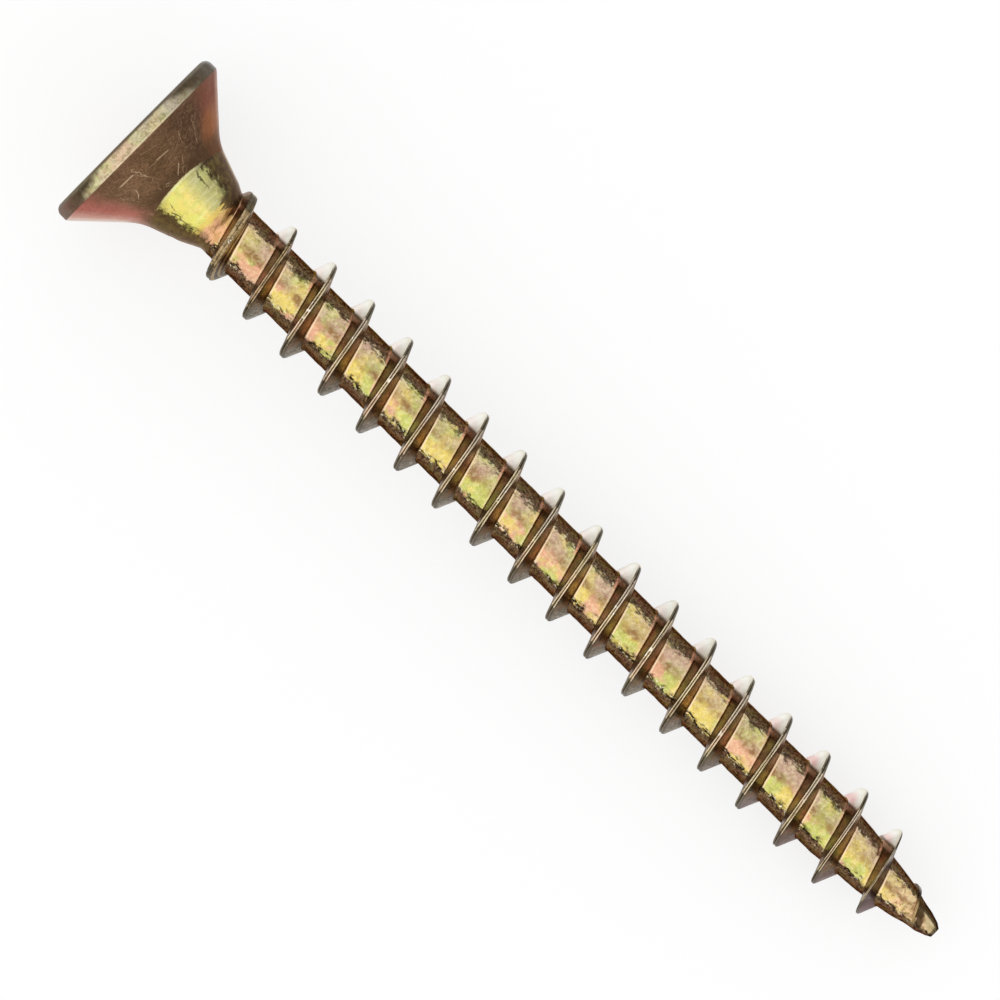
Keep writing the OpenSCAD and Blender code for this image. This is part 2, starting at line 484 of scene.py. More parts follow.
@dataclass
class Head:
    """Flat face with its cross recess, rim, countersink and start of the neck."""

    sizes: ScrewSizes
    steps: int = 144
    end: float = 3.24
    face_r: float = 3.3
    face_edge: float = 0.04
    rim_cuts: int = 6
    throat: float = 0.36
    throat_cuts: int = 6
    cone_rings: tuple[float, ...] = (0.68, 0.95, 1.3, 1.65, 1.95)
    recess_rings: tuple[float, ...] = (0.35, 0.9, 1.5)
    lip: float = 0.035
    crown: float = 0.06
    nose: float = 0.018
    nose_width: float = 0.55
    corner: float = 0.03
    dimple: float = 0.04
    floor_cone: float = 0.32

    def outline(self) -> list[tuple[float, float]]:
        """Draw the half section from the flat face to the neck.

        Returns:
            Its points, as radius and height.
        """
        s = self.sizes
        centre = s.head_r - s.rim_round
        points = [(self.face_r, 0.0), (centre - self.face_edge, 0.0)]
        points += [
            (centre + s.rim_round * math.sin(a), s.rim_round * (1 - math.cos(a)))
            for a in (math.radians(90 * k / self.rim_cuts) for k in range(self.rim_cuts + 1))
        ]
        rim_edge = ((0.0, -0.09), (0.0, -0.04), (-0.012, -0.005), (-0.05, 0.05))
        points += [(s.head_r + out, s.rim_h + up) for out, up in rim_edge]
        run = slope(s.sink_angle)
        points += [(s.head_r - (z - s.rim_h) * run, z) for z in self.cone_rings]
        points += self._throat(run)
        return points + [(along(self.end, s.core), self.end)]

    def _throat(self, run: float) -> list[tuple[float, float]]:
        """Round the junction of countersink and neck.

        Args:
            run: Fall of the countersink's radius in a millimetre.

        Returns:
            Points of the rounding, as radius and height.
        """
        s, reach = self.sizes, self.throat
        start = Vector((s.neck_r + reach * run, s.sink_end - reach))
        corner = Vector((s.neck_r, s.sink_end))
        end = Vector((along(s.sink_end + reach, s.core), s.sink_end + reach))
        curve = []
        for k in range(self.throat_cuts + 1):
            t = k / self.throat_cuts
            curve.append(tuple(start.lerp(corner, t).lerp(corner.lerp(end, t), t)))
        return curve

    def build(self, bm: Mesh) -> None:
        """Add the head to the shank's mesh and join the two at the neck.

        Args:
            bm: The shank's mesh, whose open end is at the neck.
        """
        neck_ring = [e for e in bm.edges if e.is_boundary]
        verts = [bm.verts.new((r, 0.0, z)) for r, z in self.outline()]
        edges = [bm.edges.new(pair) for pair in zip(verts, verts[1:])]
        before = set(bm.faces)
        bmesh.ops.spin(bm, geom=verts + edges, steps=self.steps, use_merge=True, **TURN)
        made = [f for f in bm.faces if f not in before]
        rings = [e for e in bm.edges if e.is_boundary and e not in neck_ring]
        face_ring = [e for e in rings if max(v.co.z for v in e.verts) < NEAR]
        end_ring = [e for e in rings if min(v.co.z for v in e.verts) > self.end - NEAR]
        made += bmesh.ops.bridge_loops(bm, edges=end_ring + neck_ring)["faces"]
        recess = self._recess(bm, face_ring)
        for face in made + recess:
            face.smooth = True
            z = face.calc_center_median().z
            face.material_index = (Zone.NECK if z > self.sizes.rim_h else Zone.HEAD).value
        for face in recess:
            face.material_index = Zone.HEAD.value
        LOG.info("head: %d faces", len(made) + len(recess))

    def _cross(self, depth: float) -> list[Vector]:
        """Outline of the cross recess at a depth.

        Args:
            depth: Distance from the flat face.

        Returns:
            Its corners, round the axis.
        """
        s, small = self.sizes, self.corner
        reach = s.wing_r - depth * slope(s.wing_slope)
        side = s.wing_half - depth * slope(s.wall_slope)
        socket = s.socket_half - depth * slope(s.socket_slope) / math.sqrt(2)
        flat = side * self.nose_width
        end = [(reach, -flat), (reach + self.nose, 0.0), (reach, flat)]
        wall = [
            (reach - self.crown, side),
            ((reach + socket) / 2, side),
            (socket + small, side),
            (socket, side + small),
            (socket, socket - self.dimple),
        ]
        quarter = end + wall + [(y, x) for x, y in reversed(wall)]
        corners = []
        for turn in range(4):
            spin = Matrix.Rotation(math.radians(45 + 90 * turn), 3, "Z")
            corners += [spin @ Vector((x, y, depth)) for x, y in quarter]
        return corners

    def _recess(self, bm: Mesh, face_ring: list[Edge]) -> list[Face]:
        """Sink the cross recess into the flat face.

        Args:
            bm: The screw's mesh.
            face_ring: Edges of the flat face's outer ring.

        Returns:
            The new faces.
        """
        bottom = self.sizes.wing_depth
        mouth = self._cross(0.0)
        verts = [bm.verts.new(v + v.xy.to_3d().normalized() * self.lip) for v in mouth]
        loop = [bm.edges.new(pair) for pair in zip(verts, verts[1:] + verts[:1])]
        before = set(bm.faces)
        bmesh.ops.triangle_fill(bm, use_beauty=True, edges=face_ring + loop, normal=(0, 0, -1))
        for depth in (self.lip, *self.recess_rings, bottom):
            out = bmesh.ops.extrude_edge_only(bm, edges=loop)["geom"]
            moved = [g for g in out if isinstance(g, Vert)]
            loop = [g for g in out if isinstance(g, Edge)]
            for vert, place in self._paired(moved, self._cross(depth)):
                vert.co = place
        floor = bmesh.ops.contextual_create(bm, geom=loop)["faces"]
        bmesh.ops.poke(bm, faces=floor, offset=0.0)
        for vert in bm.verts:
            if vert.co.xy.length < NEAR and abs(vert.co.z - bottom) < NEAR:
                vert.co.z = bottom + self.floor_cone
        return [f for f in bm.faces if f not in before]

    @staticmethod
    def _paired(verts: list[Vert], places: list[Vector]) -> list[tuple[Vert, Vector]]:
        """Match extruded vertices with their new places, by their order round the axis.

        Args:
            verts: The vertices of a ring.
            places: The places of the next ring.

        Returns:
            Pairs of vertex and place.
        """
        around = sorted(verts, key=lambda v: math.atan2(v.co.y, v.co.x))
        return list(zip(around, sorted(places, key=lambda v: math.atan2(v.y, v.x))))


@dataclass(frozen=True)
class Value:
    """Number, vector or colour that varies over a surface, with the nodes that work on it."""

    sheet: "Sheet"
    socket: Socket

    def math(self, operation: str, other: Level = 0.0, clamp: bool = False) -> "Value":
        """Put the value and another through a Math node."""
        return self.sheet.read("Math", {0: self, 1: other}, operation=operation, use_clamp=clamp)

    def __add__(self, other: Level) -> "Value":
        """Add."""
        return self.math("ADD", other)

    def __sub__(self, other: Level) -> "Value":
        """Subtract."""
        return self.math("SUBTRACT", other)

    def __mul__(self, other: Level) -> "Value":
        """Multiply, which for masks keeps what both cover."""
        return self.math("MULTIPLY", other)

    def __truediv__(self, other: Level) -> "Value":
        """Divide."""
        return self.math("DIVIDE", other)

    def __abs__(self) -> "Value":
        """Drop the sign."""
        return self.math("ABSOLUTE")

    def ramp(self, low: float, high: float, a: float, b: float) -> "Value":
        """Map the value smoothly from low..high to a..b."""
        values = {0: self, 1: low, 2: high, 3: a, 4: b}
        return self.sheet.read("MapRange", values, interpolation_type="SMOOTHSTEP")

    def rise(self, low: float, high: float, most: float = 1.0) -> "Value":
        """Mask that rises from 0 at low to its most at high."""
        return self.ramp(low, high, 0.0, most)

    def fall(self, low: float, high: float, most: float = 1.0) -> "Value":
        """Mask that falls from its most at low to 0 at high."""
        return self.ramp(low, high, most, 0.0)

    def near(self, centre: float, inner: float, outer: float) -> "Value":
        """Mask that is 1 within inner of a centre and 0 beyond outer."""
        return abs(self - centre).fall(inner, outer)

    def noise(self, scale: float, detail: float = 2.0, rough: float = 0.5) -> "Value":
        """Read a noise texture at the vector."""
        values = {"Vector": self, "Scale": scale, "Detail": detail, "Roughness": rough}
        return self.sheet.read("TexNoise", values)

    def swing(self, scale: float, amount: Level, detail: float = 2.0, rough: float = 0.5) -> "Value":
        """Read noise that swings about zero, times an amount."""
        return (self.noise(scale, detail, rough) - 0.5) * amount

    def mapped(
        self, shift: Triple = (0, 0, 0), turn: Triple = (0, 0, 0), scale: Triple = (1, 1, 1)
    ) -> "Value":
        """Move, turn and stretch the vector."""
        values = {"Vector": self, "Location": shift, "Rotation": turn, "Scale": scale}
        return self.sheet.read("Mapping", values)

    def with_vector(self, operation: str, other: "Value", output: int | str = 0) -> "Value":
        """Put the vector and another through a Vector Math node."""
        return self.sheet.read("VectorMath", {0: self, 1: other}, output, operation=operation)

    def split(self) -> tuple["Value", ...]:
        """Take the vector apart into x, y and z."""
        return tuple(self.sheet.read_all("SeparateXYZ", {0: self}).values())


@dataclass
class Sheet:
    """Node tree helper that adds nodes and joins them by name."""

    tree: Tree

    def feed(self, socket: Socket, value: object) -> None:
        """Give an input what it reads.

        Args:
            socket: The input.
            value: A value or an output to link, or a number or tuple to set.
        """
        if isinstance(value, Value):
            value = value.socket
        if isinstance(value, Socket):
            self.tree.links.new(value, socket)
        else:
            socket.default_value = value

    def add(self, kind: str, inputs: dict | None = None, **settings: object) -> bpy.types.Node:
        """Add a node.

        Args:
            kind: Blender's type name of the node, without its ShaderNode prefix.
            inputs: What its inputs read, by name or index.
            **settings: Properties of the node.

        Returns:
            The node.
        """
        node = self.tree.nodes.new("ShaderNode" + kind)
        for name, value in settings.items():
            setattr(node, name, value)
        for name, value in (inputs or {}).items():
            self.feed(node.inputs[name], value)
        return node

    def read(
        self, kind: str, inputs: dict | None = None, output: int | str = 0, **settings: object
    ) -> Value:
        """Add a node and return one of its outputs."""
        return Value(self, self.add(kind, inputs, **settings).outputs[output])

    def read_all(self, kind: str, inputs: dict | None = None, **settings: object) -> dict[str, Value]:
        """Add a node and return its outputs by name."""
        return {s.name: Value(self, s) for s in self.add(kind, inputs, **settings).outputs}

    def mix(self, factor: Level, a: Ink, b: Ink, blend: str = "MIX") -> Value:
        """Mix two colours."""
        return self.read("Mix", {0: factor, 6: a, 7: b}, 2, data_type="RGBA", blend_type=blend)


class Effects:
    """Shader node groups that several finishes share."""

    def __init__(self) -> None:
        """Make the groups."""
        self.bands = self._bands()
        self.bloom = self._bloom()
        self.wear = self._wear()
        self.stroke = self._stroke()

    @staticmethod
    def _open(name: str, **kinds: str) -> tuple[Sheet, list[Value]]:
        """Start a group.

        Args:
            name: The group's name.
            **kinds: Kinds of its inputs, by their names.

        Returns:
            The group's sheet and its inputs.
        """
        tree = bpy.data.node_groups.new(name, "ShaderNodeTree")
        for title, kind in kinds.items():
            tree.interface.new_socket(title, in_out="INPUT", socket_type="NodeSocket" + kind)
        sheet = Sheet(tree)
        source = tree.nodes.new("NodeGroupInput").outputs
        return sheet, [Value(sheet, source[title]) for title in kinds]

    @staticmethod
    def _close(sheet: Sheet, **results: Value) -> Tree:
        """Put out a group's results.

        Args:
            sheet: The group's sheet.
            **results: What it puts out, by the outputs' names.

        Returns:
            The finished group.
        """
        for title in results:
            kind = "NodeSocketColor" if title == "Colour" else "NodeSocketFloat"
            sheet.tree.interface.new_socket(title, in_out="OUTPUT", socket_type=kind)
        target = sheet.tree.nodes.new("NodeGroupOutput").inputs
        for title, value in results.items():
            sheet.feed(target[title], value)
        return sheet.tree

    def _bands(self) -> Tree:
        """Ragged dark stripes that run along the screw: painted shade where its sides mirror dark
        surroundings.

        Returns:
            The group.
        """
        sheet, (own, start) = self._open("painted_shade_stripes", Vector="Vector", Start="Float")
        x, y, _ = own.split()
        side = x / (x * x + y * y).math("SQRT").math("MAXIMUM", 0.05)
        out = abs(side + 0.02)
        place = out + own.swing(5.0, 0.42, 4.0, 0.65) + own.swing(1.3, 0.22, 1.0) - start
        # Stripe: painted shade on both sides, clear at the very edges
        stripe = place.rise(-0.035, 0.035) * out.fall(0.98, 1.01)
        edge = place.near(-0.03, 0.02, 0.17)
        # Cracks along the stripes' edges: the core sinks them as bumps, and the finishes paint them dark as
        # shade
        vein = own.mapped(scale=(4.2, 4.2, 1.7)).noise(1.0).near(0.5, 0.03, 0.1)
        crack = vein * edge * own.noise(1.1, 1.0).rise(0.38, 0.48)
        return self._close(sheet, Stripe=stripe, Side=side, Edge=edge, Crack=crack)

    def _bloom(self) -> Tree:
        """Mottled colours of the chromate film: gold, green, salmon and lilac.

        Returns:
            The group.
        """
        inks = dict.fromkeys(INKS, "Color")
        sheet, (own, gold, green, salmon, lilac, side, grit) = self._open(
            "chromate_bloom", Vector="Vector", **inks, Side="Float", Grit="Float"
        )
        broad = own.noise(0.62, 2.0, 0.6)
        other = own.mapped(shift=(7.0, 3.0, 5.0)).noise(0.7, 3.0, 0.6)
        shift = own.swing(3.2, 0.14, 3.0, 0.6)
        upper = (side + shift).rise(-0.12, 0.25, 0.8)
        colour = sheet.mix((broad + shift).rise(0.44, 0.54), gold, green)
        colour = sheet.mix((other + shift).rise(0.5, 0.6), colour, salmon)
        colour = sheet.mix(upper * other.rise(0.36, 0.56), colour, lilac)
        level = own.swing(15.0, grit, 2.0, 0.7) + own.swing(4.5, 0.6, 3.0, 0.6) + 1.0
        grey = sheet.read("CombineColor", {0: level, 1: level, 2: level})
        colour = sheet.mix(1.0, colour, grey, "MULTIPLY")
        return self._close(sheet, Colour=colour, Blotch=other)

    def _wear(self) -> Tree:
        """Grain, waviness and scratches, as a height and a mask.

        Returns:
            The group.
        """
        sheet, (own, grain, scratches) = self._open(
            "surface_wear", Vector="Vector", Grain="Float", Scratches="Float"
        )
        masks = []
        for angle, scale in ((0.5, 1.5), (1.2, 1.2), (2.2, 1.8)):
            turned = own.mapped(turn=(angle, 0.7 * angle, 1.9 * angle))
            line = turned.mapped(scale=(5.0, 0.3, 0.3)).noise(scale, 0.0).near(0.5, 0.002, 0.012)
            masks.append(line * turned.noise(1.1 * scale, 1.0).rise(0.58, 0.64))
        scratch = masks[0].math("MAXIMUM", masks[1]).math("MAXIMUM", masks[2])
        scratch = scratch.math("MULTIPLY", scratches, clamp=True)
        height = own.noise(13.0, 4.0, 0.6) * grain + own.noise(3.4, 3.0, 0.55) - scratch * 0.5
        return self._close(sheet, Height=height, Scratch=scratch)

    def _stroke(self) -> Tree:
        """One scratch or crack, drawn on the screw's upper side from Start along Run.

        Returns:
            The group.
        """
        sheet, (own, start, run, width) = self._open(
            "placed_stroke", Vector="Vector", Start="Vector", Run="Vector", Width="Float"
        )
        x, y, z = own.split()
        flat = sheet.read("CombineXYZ", {0: x + own.swing(3.4, 0.3), 2: z})
        gap = flat.with_vector("SUBTRACT", start)
        whole = run.with_vector("DOT_PRODUCT", run, "Value")
        share = gap.with_vector("DOT_PRODUCT", run, "Value").math("DIVIDE", whole, clamp=True)
        step = sheet.read("VectorMath", {0: run, "Scale": share}, operation="SCALE")
        away = gap.with_vector("DISTANCE", step, "Value")
        mask = (away / (width * share.ramp(0.75, 1.0, 1.0, 0.4))).fall(0.25, 0.5)
        return self._close(sheet, Mask=mask * y.math("GREATER_THAN"))


@dataclass
class Layers:
    """Masks and colours that a finish works with while its nodes are laid out."""

    sheet: Sheet
    effects: Effects
    own: Value
    x: Value
    z: Value
    share: Value
    across: Value
    toe: Value
    colour: Value
    rough: Value
    side: Value
    stripe: Value
    edge: Value
    crack: Value
    scratch: Value
    height: Value

    def tint(self, mask: Level, srgb: Srgb) -> None:
        """Mix a colour over what is there, where the mask shows it."""
        self.colour = self.sheet.mix(mask, self.colour, linear(srgb))

    def mottle(self, mask: Level, scale: float, srgb: Srgb, share: float = 0.5) -> None:
        """Tint soft patches inside a mask.

        Args:
            mask: Where the patches may show.
            scale: How many patches there are in a millimetre or so.
            srgb: Their colour.
            share: How much of the mask they cover, about.
        """
        middle = 0.5 + 0.25 * (0.5 - share)
        patches = self.own.noise(scale, 3.0, 0.65).rise(middle - 0.05, middle + 0.07)
        self.tint(patches * mask, srgb)

    def mottles(self, mask: Level, *patches: Patch) -> None:
        """Tint several kinds of patches inside a mask.

        Args:
            mask: Where they may show.
            *patches: Strength, scale, colour and share of each kind.
        """
        for strength, scale, srgb, share in patches:
            self.mottle(mask * strength, scale, srgb, share)

    def strokes(self, strokes: tuple[Stroke, ...], srgb: Srgb) -> None:
        """Draw scratches or cracks, and sink them into the surface.

        Args:
            strokes: Start and end of each, across and along the screw, and its width.
            srgb: Their colour.
        """
        for x, z, x_end, z_end, width in strokes:
            line = {"Start": (x, 0.0, z), "Run": (x_end - x, 0.0, z_end - z), "Width": width}
            inputs = {"Vector": self.own, **line}
            mask = self.sheet.read("Group", inputs, "Mask", node_tree=self.effects.stroke)
            self.tint(mask * 0.75, srgb)
            self.height = self.height - mask


@dataclass(frozen=True)
class Finish:
    """Look of one zone of the plated surface."""

    name: str
    gold: Srgb
    green: Srgb
    salmon: Srgb
    lilac: Srgb
    roughness: float = 0.2
    rough_spread: float = 0.14
    stripe_rough: float = 0.12
    edge_tint: Srgb = (255, 255, 255)
    # Where the stripes of painted shade start, and how they tilt along the screw
    stripe_start: float = 0.645
    stripe_slope: float = 0.0
    stripe_pivot: float = 2.5
    grit: float = 1.0
    bump: float = 0.35
    bump_depth: float = 0.00003
    grain: float = 0.5
    scratches: float = 0.0

    def detail(self, layers: Layers) -> None:
        """Add what only this zone has.

        Args:
            layers: Masks and colours to work on.
        """

    def material(self, effects: Effects) -> bpy.types.Material:
        """Make the finish's material.

        Args:
            effects: The shared node groups.

        Returns:
            The material.
        """
        material, shader = new_material(self.name)
        sheet = Sheet(material.node_tree)
        own = sheet.read("Attribute", output="Vector", attribute_name=OWN_AXES)
        ridge = sheet.read("Attribute", output="Vector", attribute_name=RIDGE)
        share, across, toe = ridge.split()
        x, _, z = own.split()
        start = self.stripe_start
        if self.stripe_slope:
            start = (z - self.stripe_pivot) * self.stripe_slope + self.stripe_start
        bands = sheet.read_all("Group", {"Vector": own, "Start": start}, node_tree=effects.bands)
        inks = {title: linear(getattr(self, title.lower())) for title in INKS}
        bloom_inputs = {"Vector": own, "Side": bands["Side"], "Grit": self.grit, **inks}
        bloom = sheet.read_all("Group", bloom_inputs, node_tree=effects.bloom)
        wear_inputs = {"Vector": own, "Grain": self.grain, "Scratches": self.scratches}
        wear = sheet.read_all("Group", wear_inputs, node_tree=effects.wear)
        rough = bloom["Blotch"].ramp(0.35, 0.65, self.roughness, self.roughness + self.rough_spread)
        rough = rough + bands["Stripe"] * self.stripe_rough
        masks = {title.lower(): value for title, value in (bands | wear).items()}
        layers = Layers(sheet, effects, own, x, z, share, across, toe, bloom["Colour"], rough, **masks)
        self.detail(layers)
        relief = {"Height": layers.height, "Strength": self.bump, "Distance": self.bump_depth}
        for title, value in (
            ("Base Color", layers.colour),
            ("Roughness", layers.rough),
            ("Metallic", 1.0),
            ("Specular Tint", linear(self.edge_tint)),
            ("Normal", sheet.read("Bump", relief)),
        ):
            sheet.feed(shader.inputs[title], value)
        return material


class HeadFinish(Finish):
    """Rim and flat face: pale, with dark mottled painted shade on the rim's two sides."""

    def detail(self, layers: Layers) -> None:
        """Lay the rim's patches, its dark ends and its edges, with painted shade and a painted highlight.

        Args:
            layers: Masks and colours to work on.
        """
        own, side, z = layers.own, layers.side, layers.z
        on_rim = z.rise(0.03, 0.16)
        layers.mottles(on_rim, (0.6, 5.0, (138, 124, 92), 0.38), (0.4, 3.0, (222, 208, 176), 0.4))
        # Painted shade: the rim greyer towards its upper side, dark at both ends, redder at the lower end,
        # mottled
        layers.tint(on_rim * side.rise(0.38, 0.62) * 0.55, (140, 128, 104))
        out = abs(side) + own.swing(2.4, 0.2) + z.fall(0.05, 0.5, 0.22)
        dark = out.rise(0.6, 0.84) * on_rim
        layers.tint(dark * 0.97, (74, 62, 46))
        layers.tint(dark * side.fall(-0.95, -0.7, 0.9), (132, 92, 72))
        layers.mottles(dark, (0.5, 3.4, (104, 88, 66), 0.5), (0.4, 7.0, (82, 62, 46), 0.45))
        # Painted shade: a dark line along the face's rounded edge
        layers.tint(z.rise(0.0, 0.012) * z.fall(0.06, 0.15, 0.85), (78, 62, 44))
        # Painted highlight: a pale line at the rim's edge towards the countersink
        centre = abs(side).fall(0.4, 0.8, 0.35)
        layers.tint(z.near(0.55, 0.01, 0.06) * centre, (232, 218, 186))
        # Painted shade: darker deeper in the cross recess
        layers.tint(z.rise(0.6, 1.6) * 0.5, (120, 96, 60))


class NeckFinish(Finish):
    """Countersink and neck: a scratched brown cone, then bright yellow green, then orange."""

    marks = (
        (-1.02, 1.15, -1.68, 1.13, 0.07),
        (-0.9, 1.0, -0.66, 1.62, 0.05),
        (0.48, 1.42, -0.02, 1.36, 0.055),
        (0.5, 2.02, 0.16, 2.32, 0.045),
        (-1.36, 1.62, -1.4, 1.9, 0.06),
    )
    cracks = (
        (0.72, 2.66, 0.6, 2.84, 0.05),
        (0.6, 2.84, 0.64, 3.05, 0.06),
        (0.64, 3.05, 0.55, 3.5, 0.05),
        (-0.84, 2.85, -0.82, 3.2, 0.04),
        (-0.95, 3.1, -0.9, 3.7, 0.06),
        (1.05, 2.95, 0.98, 3.3, 0.05),
    )
    hairs = (
        (-1.02, 1.15, -0.61, 1.66, 0.036),
        (-0.61, 1.66, -0.64, 2.3, 0.03),
        (-0.33, 1.38, 0.56, 1.43, 0.036),
        (0.8, 1.9, 0.36, 2.4, 0.03),
        (1.98, 1.24, 1.48, 1.97, 0.036),
        (-0.3, 0.82, 0.5, 1.04, 0.03),
        (1.3, 1.2, 1.1, 1.6, 0.03),
        (-1.9, 1.4, -1.45, 2.05, 0.03),
    )
    seam = 2.47
    thread_start = 4.16

    def detail(self, layers: Layers) -> None:
        """Colour the neck, lay the countersink over it and paint reflections at the sides.

        Args:
            layers: Masks and colours to work on.
        """
        own, side, stripe = layers.own, layers.side, layers.stripe
        # Painted shade: the upper side greyer and darker; painted light: the lower side yellower and
        # brighter
        upper = side.rise(0.05, 0.6)
        layers.tint(upper * 0.85, (170, 164, 110))
        layers.mottle(upper * 0.6, 2.2, (140, 136, 84), 0.4)
        layers.tint(side.fall(-0.45, -0.1, 0.7), (226, 212, 108))
        streaks = own.mapped(scale=(1.2, 1.2, 9.0)).noise(1.0, 3.0, 0.6)
        layers.tint(streaks.rise(0.53, 0.66, 0.25), (240, 234, 190))
        self._thread_side(layers)
        # Painted shade: the dark stripes, lighter on the lower side and mottled, with dark cracks at their
        # edges
        layers.tint(stripe * 0.95, (76, 56, 40))
        layers.tint(stripe * side.fall(-0.3, 0.0) * 0.8, (112, 90, 52))
        layers.mottles(stripe, (0.5, 4.0, (124, 108, 62), 0.4), (0.5, 3.6, (70, 50, 42), 0.4))
        layers.tint(layers.crack * 0.5, (64, 50, 32))
        layers.strokes(self.cracks, (62, 48, 28))
        place = layers.z + layers.x * layers.x * -0.09 + own.swing(6.0, 0.06, 3.0, 0.6)
        # Painted highlight: a pale line along the seam with the countersink
        line = place.near(self.seam + 0.05, 0.01, 0.08) * abs(side).fall(0.3, 0.6, 0.6)
        layers.tint(line, (232, 224, 176))
        neck = layers.colour
        self._cone(layers)
        cone = place.fall(self.seam - 0.02, self.seam + 0.03)
        layers.colour = layers.sheet.mix(cone, neck, layers.colour)
        layers.rough = layers.rough + cone * 0.12
        self._painted_reflections(layers)

    def _thread_side(self, layers: Layers) -> None:
        """Turn the film orange before the thread, with dark teeth of painted shade at its sides.

        Args:
            layers: Masks and colours to work on.
        """
        own, side, z = layers.own, layers.side, layers.z
        past = z.rise(self.thread_start - 0.03, self.thread_start + 0.03)
        layers.tint(past * 0.7, (222, 188, 98))
        orange = (z + own.swing(3.0, 0.3)).rise(4.3, 4.45)
        layers.tint(orange * side.ramp(-0.05, 0.2, 0.95, 0.45), (228, 174, 134))
        layers.mottle(orange * 0.6, 2.6, (186, 142, 84))
        # Painted shade: the stripes' comb-edged start beside the thread
        comb = own.mapped(scale=(1.0, 1.0, 14.0)).swing(1.0, 0.9, 2.0, 0.6)
        teeth = (abs(side + 0.16) + comb).rise(0.48, 0.58)
        layers.tint(teeth * z.near(4.5, 0.42, 0.6) * 0.9, (84, 64, 44))

    def _cone(self, layers: Layers) -> None:
        """Colour the countersink: brown and scratched, orange and red above.

        Args:
            layers: Masks and colours to work on.
        """
        own, side, z = layers.own, layers.side, layers.z
        broad = own.noise(1.0, 3.0, 0.6).rise(0.4, 0.6)
        layers.colour = layers.sheet.mix(broad, linear((142, 108, 78)), linear((124, 94, 66)))
        place = side + own.swing(1.2, 0.16, 3.0, 0.6)
        layers.tint(place.rise(0.05, 0.5, 0.9), (84, 60, 42))
        layers.mottle(0.35, 7.0, (154, 122, 92))
        layers.mottle(0.5, 13.0, (74, 54, 42))
        above = place.rise(0.62, 0.85, 0.85)
        layers.tint(above, (140, 82, 66))
        layers.tint(above * z.rise(1.1, 1.7), (160, 102, 56))
        # Painted reflection: pale pink along the upper edge
        layers.tint(side.rise(0.94, 0.985, 0.8), (186, 148, 130))
        layers.mottle(abs(side).rise(0.6, 0.8, 0.35), 8.0, (116, 80, 68))
        layers.tint(z.fall(0.56, 1.1, 0.35), (116, 84, 66))
        # Painted shade: darker towards the crease at the neck, away from the lower side
        layers.tint(z.rise(1.9, 2.4, 0.75) * side.rise(-0.8, -0.4), (86, 64, 44))
        layers.tint(layers.scratch * 0.7, (178, 150, 118))
        layers.strokes(self.hairs, (164, 134, 104))
        layers.strokes(self.marks, (206, 178, 146))

    def _painted_reflections(self, layers: Layers) -> None:
        """Paint reflections at the sides: pink to white below the countersink, mauve beside the neck.

        Args:
            layers: Masks and colours to work on.
        """
        own, side, z = layers.own, layers.side, layers.z
        place = side + own.swing(1.2, 0.16, 3.0, 0.6)
        uneven = side + own.swing(2.6, 0.05, 3.0, 0.6)
        fade = (z + own.swing(2.0, 1.0, 3.0, 0.6)).fall(1.9, 2.9)
        for value, low, high, most, srgb in (
            (place, -0.86, -0.6, 0.95, (196, 120, 106)),
            (uneven, -0.96, -0.83, 0.85, (220, 176, 164)),
            (uneven, -1.0, -0.93, 0.9, (244, 232, 222)),
        ):
            layers.tint(value.fall(low, high, most) * fade, srgb)
        below = side.fall(-0.8, -0.6) * side.ramp(-0.96, -0.84, 0.25, 1.0)
        layers.mottle(below * fade * 0.35, 8.0, (150, 100, 84), 0.4)
        beside = abs(side).rise(0.92, 1.0) * z.ramp(2.4, 3.4, 0.6, 0.3) * z.rise(2.0, 2.8)
        layers.tint(beside, (168, 130, 118))


